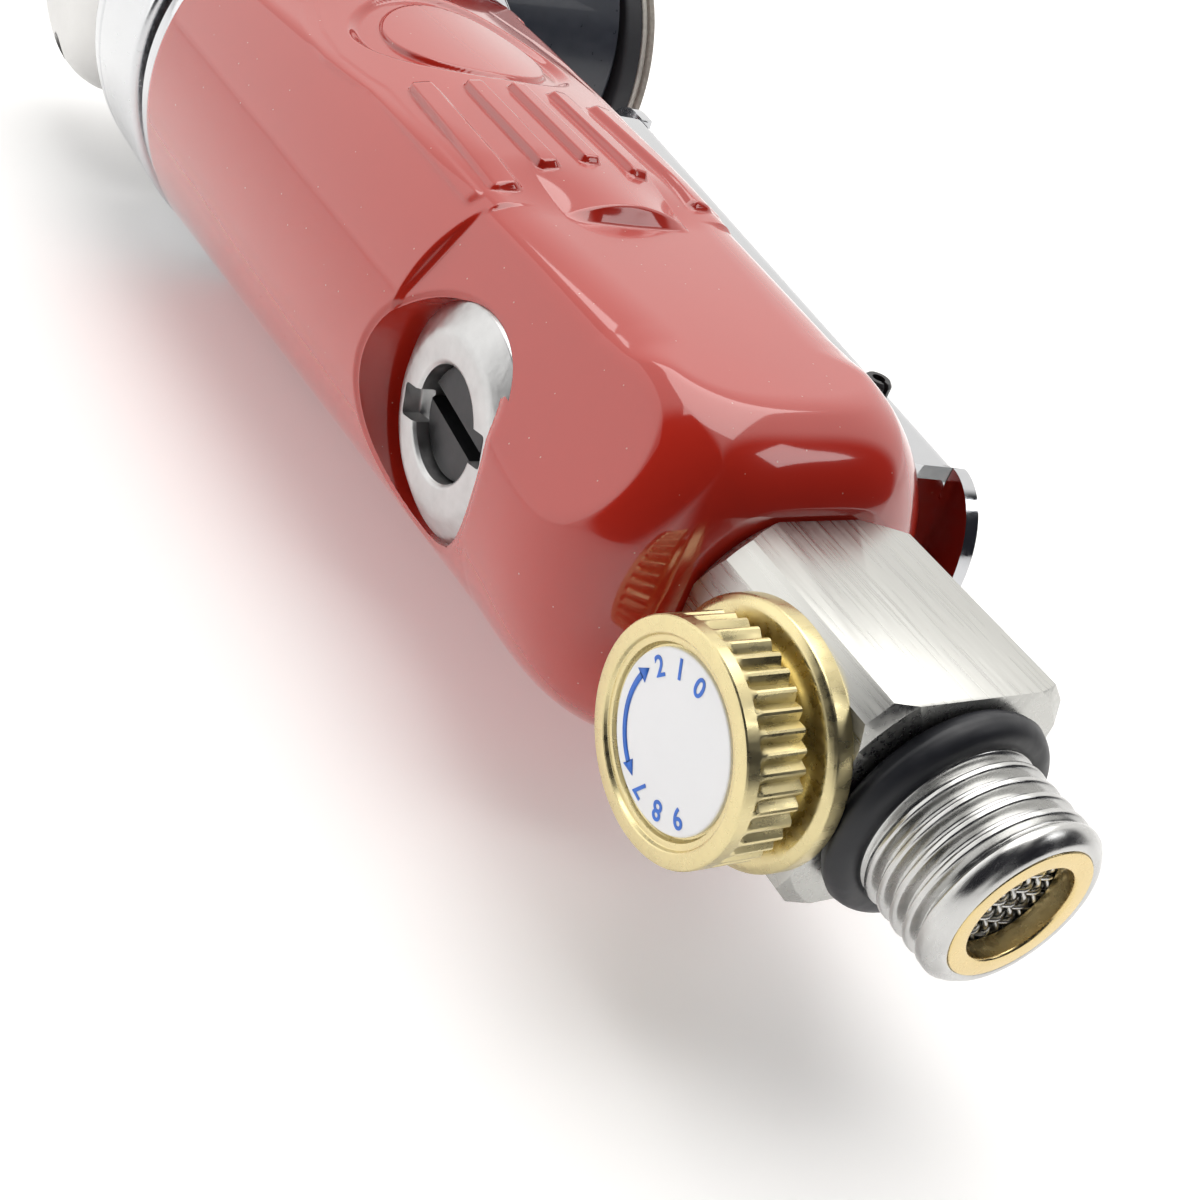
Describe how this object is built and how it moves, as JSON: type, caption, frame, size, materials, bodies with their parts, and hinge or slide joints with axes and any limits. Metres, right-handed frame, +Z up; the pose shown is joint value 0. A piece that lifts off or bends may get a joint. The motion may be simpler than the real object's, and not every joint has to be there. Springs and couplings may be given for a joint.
{
  "type": "right-angle air sander",
  "caption": "Compact right-angle air sander with a threaded air inlet, flow regulator, lever throttle, vane motor, bevel-gear head and a small round orbital sanding pad.",
  "frame": {"origin": "on the inlet axis, where the full inlet thread starts, next to the sealing ring", "axes": "+X back along the handle, out of the air inlet; +Y out to the throttle lever and the sanding pad, along the spindle; +Z up, out of the top panel"},
  "size_m": [0.1622, 0.0687, 0.0414],
  "materials": {
    "bar_aluminium": "milled and turned aluminium",
    "black_rubber": "matt nitrile rubber",
    "brass": "turned brass",
    "steel_mesh": "woven wire",
    "black_steel": "black oxide",
    "knob_brass": "turned and knurled brass",
    "plug_zinc": "satin cast plug",
    "dial_plastic": "white dial face with blue marks",
    "red_paint": "gloss red over cast aluminium",
    "chrome": "bright chrome",
    "spring_steel": "drawn wire",
    "machined_steel": "ground steel",
    "aluminium": "turned aluminium",
    "bearing_steel": "ground bearing rings and shields",
    "vane_fibre": "fibre laminate",
    "satin_head": "satin cast aluminium",
    "guard_black": "black moulded guard",
    "pad_rubber": "firm black pad rubber",
    "hook_white": "hook fastener fabric",
    "abrasive": "pale coated abrasive"
  },
  "bodies": {
    "handle": {"inlet_bar": "bar_aluminium", "inlet_o_ring": "black_rubber", "inlet_bush": "brass", "inlet_screen": "steel_mesh", "inlet_seal": "black_rubber", "regulator_collar": "knob_brass", "regulator_o_ring": "black_rubber", "housing": "red_paint", "valve_plug": "plug_zinc", "valve_seat": "brass", "stem_o_ring": "black_rubber", "valve_spring": "spring_steel", "lever_pin": "black_steel", "rear_end_plate": "aluminium", "motor_cylinder": "machined_steel", "front_end_plate": "aluminium", "motor_dowel": "machined_steel", "rear_rotor_bearing": "bearing_steel", "front_rotor_bearing": "bearing_steel", "spacer_ring": "chrome", "clamp_nut": "chrome", "clamp_sleeve": "aluminium", "angle_head": "satin_head", "grease_screw": "machined_steel", "pinion_bearings": "bearing_steel", "bearing_spacer": "aluminium", "bearing_clip": "spring_steel", "upper_spindle_bearing": "bearing_steel", "lower_spindle_bearing": "bearing_steel", "head_cover": "machined_steel", "guard": "guard_black"},
    "regulator": {"regulator_knob": "knob_brass", "regulator_dial": "dial_plastic"},
    "needle": {"regulator_needle": "brass"},
    "speed_screw": {"speed_screw": "black_steel"},
    "stem": {"throttle_stem": "machined_steel"},
    "lever": {"throttle_lever": "chrome"},
    "rotor": {"rotor": "machined_steel", "rotor_vanes": "vane_fibre", "pinion": "machined_steel"},
    "spindle": {"bevel_gear": "machined_steel", "spindle": "machined_steel", "eccentric": "machined_steel", "pad_bearings": "bearing_steel", "pad_bearing_clip": "spring_steel"},
    "pad": {"pad_stud": "machined_steel", "pad_plate": "machined_steel", "pad": "pad_rubber", "hook_layer": "hook_white", "abrasive_disc": "abrasive"}
  },
  "joints": [
    {"name": "lever_press", "type": "hinge", "parent": "handle", "child": "lever", "pos_m": [-0.0374, 0.0176, 0], "axis": [0, 0, 1], "range_deg": [0, 7], "stiffness_Nm_per_rad": 0.05, "springref_deg": -20.05},
    {"name": "stem_slide", "type": "slide", "parent": "handle", "child": "stem", "axis": [0, -1, 0], "range_m": [0, 0.00097], "deforming": ["valve_spring"]},
    {"name": "regulator_turn", "type": "hinge", "parent": "handle", "child": "regulator", "pos_m": [-0.0102, 0, 0], "axis": [0, -1, 0], "range_deg": [0, 270]},
    {"name": "needle_slide", "type": "slide", "parent": "regulator", "child": "needle", "axis": [0, -1, 0], "range_m": [0, 0.0006]},
    {"name": "speed_screw_turn", "type": "hinge", "parent": "handle", "child": "speed_screw", "pos_m": [-0.0451, 0, 0], "axis": [0, -1, 0], "range_deg": [-90, 90]},
    {"name": "rotor_spin", "type": "hinge", "parent": "handle", "child": "rotor", "pos_m": [-0.13792, 0, 0], "axis": [1, 0, 0], "continuous": true},
    {"name": "spindle_spin", "type": "hinge", "parent": "handle", "child": "spindle", "pos_m": [-0.13792, 0, 0], "axis": [0, 1, 0], "continuous": true},
    {"name": "pad_spin", "type": "hinge", "parent": "spindle", "child": "pad", "pos_m": [-0.13792, 0, -0.0015], "axis": [0, 1, 0], "continuous": true}
  ],
  "couplings": [
    {"joint": "stem_slide", "follows": "lever_press", "m_per_rad": 0.00785},
    {"joint": "needle_slide", "follows": "regulator_turn", "m_per_rad": 0.00012732},
    {"joint": "spindle_spin", "follows": "rotor_spin", "ratio": 0.68421}
  ]
}
